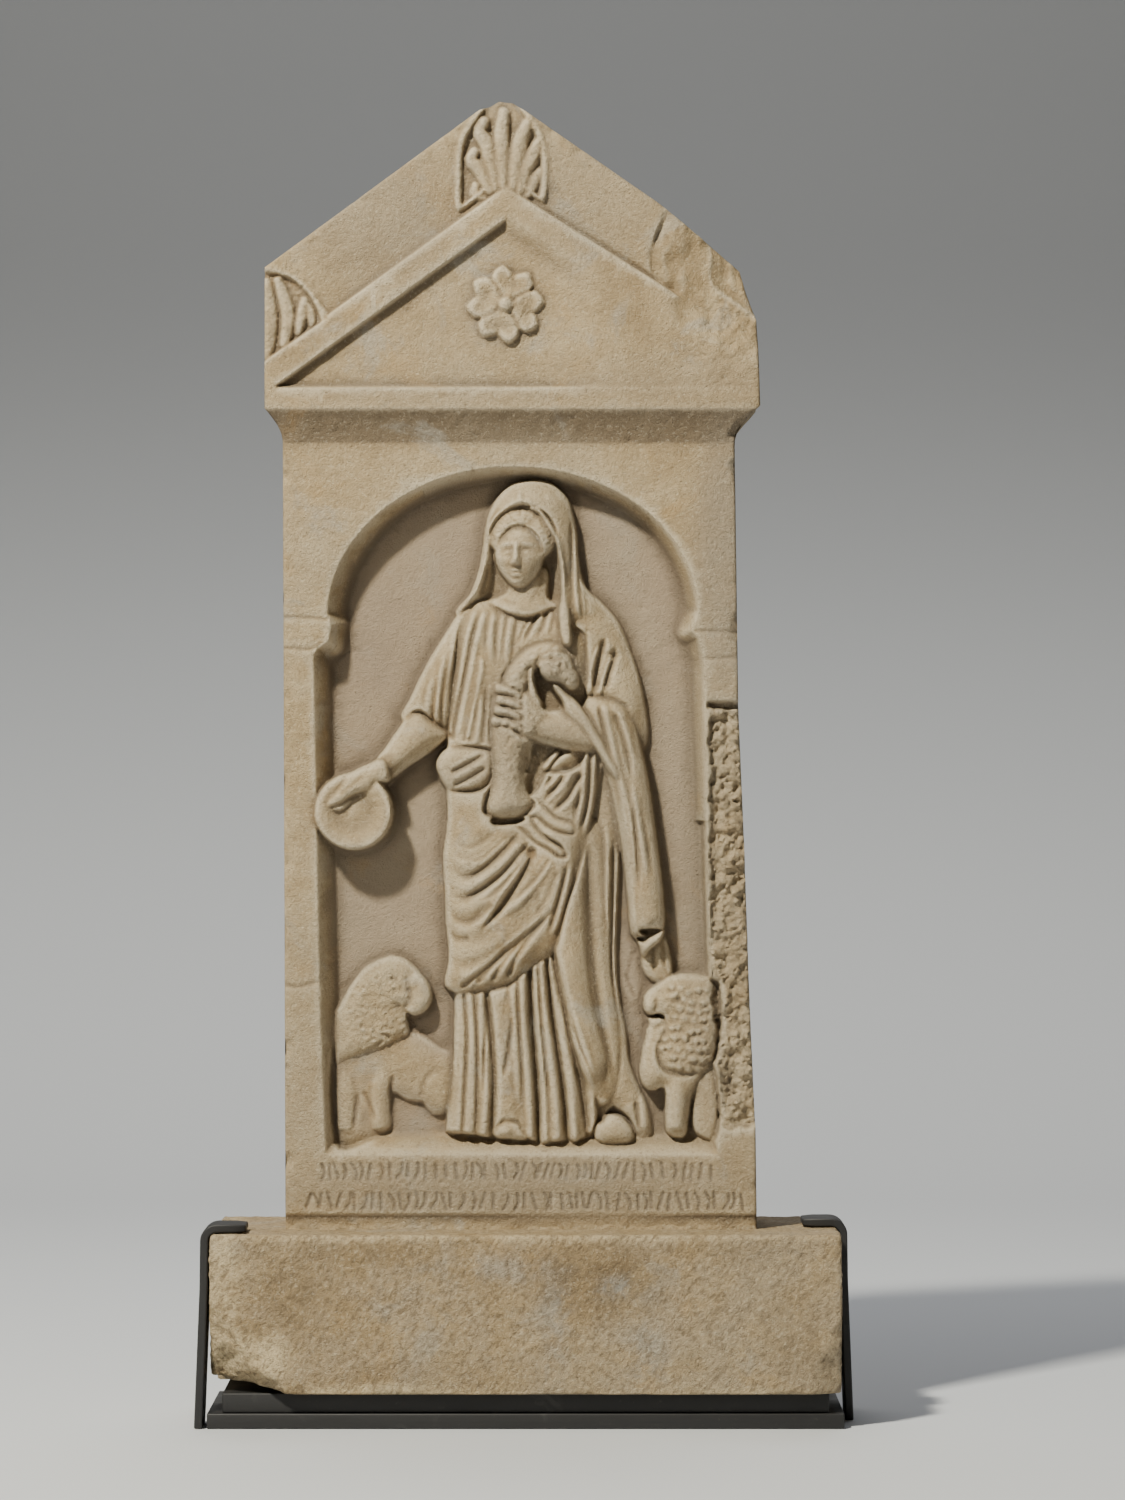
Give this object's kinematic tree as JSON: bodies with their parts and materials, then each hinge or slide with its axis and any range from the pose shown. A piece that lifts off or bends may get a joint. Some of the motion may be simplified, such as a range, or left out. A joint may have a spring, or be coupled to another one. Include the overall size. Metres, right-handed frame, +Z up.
{
  "type": "votive relief",
  "caption": "Gabled marble votive relief with a veiled standing figure, two lions and a young animal in an arched niche, on a rough plinth in a low metal cradle.",
  "frame": {"origin": "middle of the cradle's underside", "axes": "+Z up, the carved front faces -Y, +X to the viewer's right"},
  "size_m": [0.4806, 0.1694, 0.9656],
  "materials": {
    "marble": "weathered cream marble with brown patina and pointed chisel marks",
    "blackened_steel": "satin grey-black paint, worn at the edges"
  },
  "bodies": {
    "root": {"stele": "marble", "cradle_base_bar": "blackened_steel", "cradle_shim_bar": "blackened_steel", "left_clip": "blackened_steel", "right_clip": "blackened_steel"}
  },
  "joints": []
}
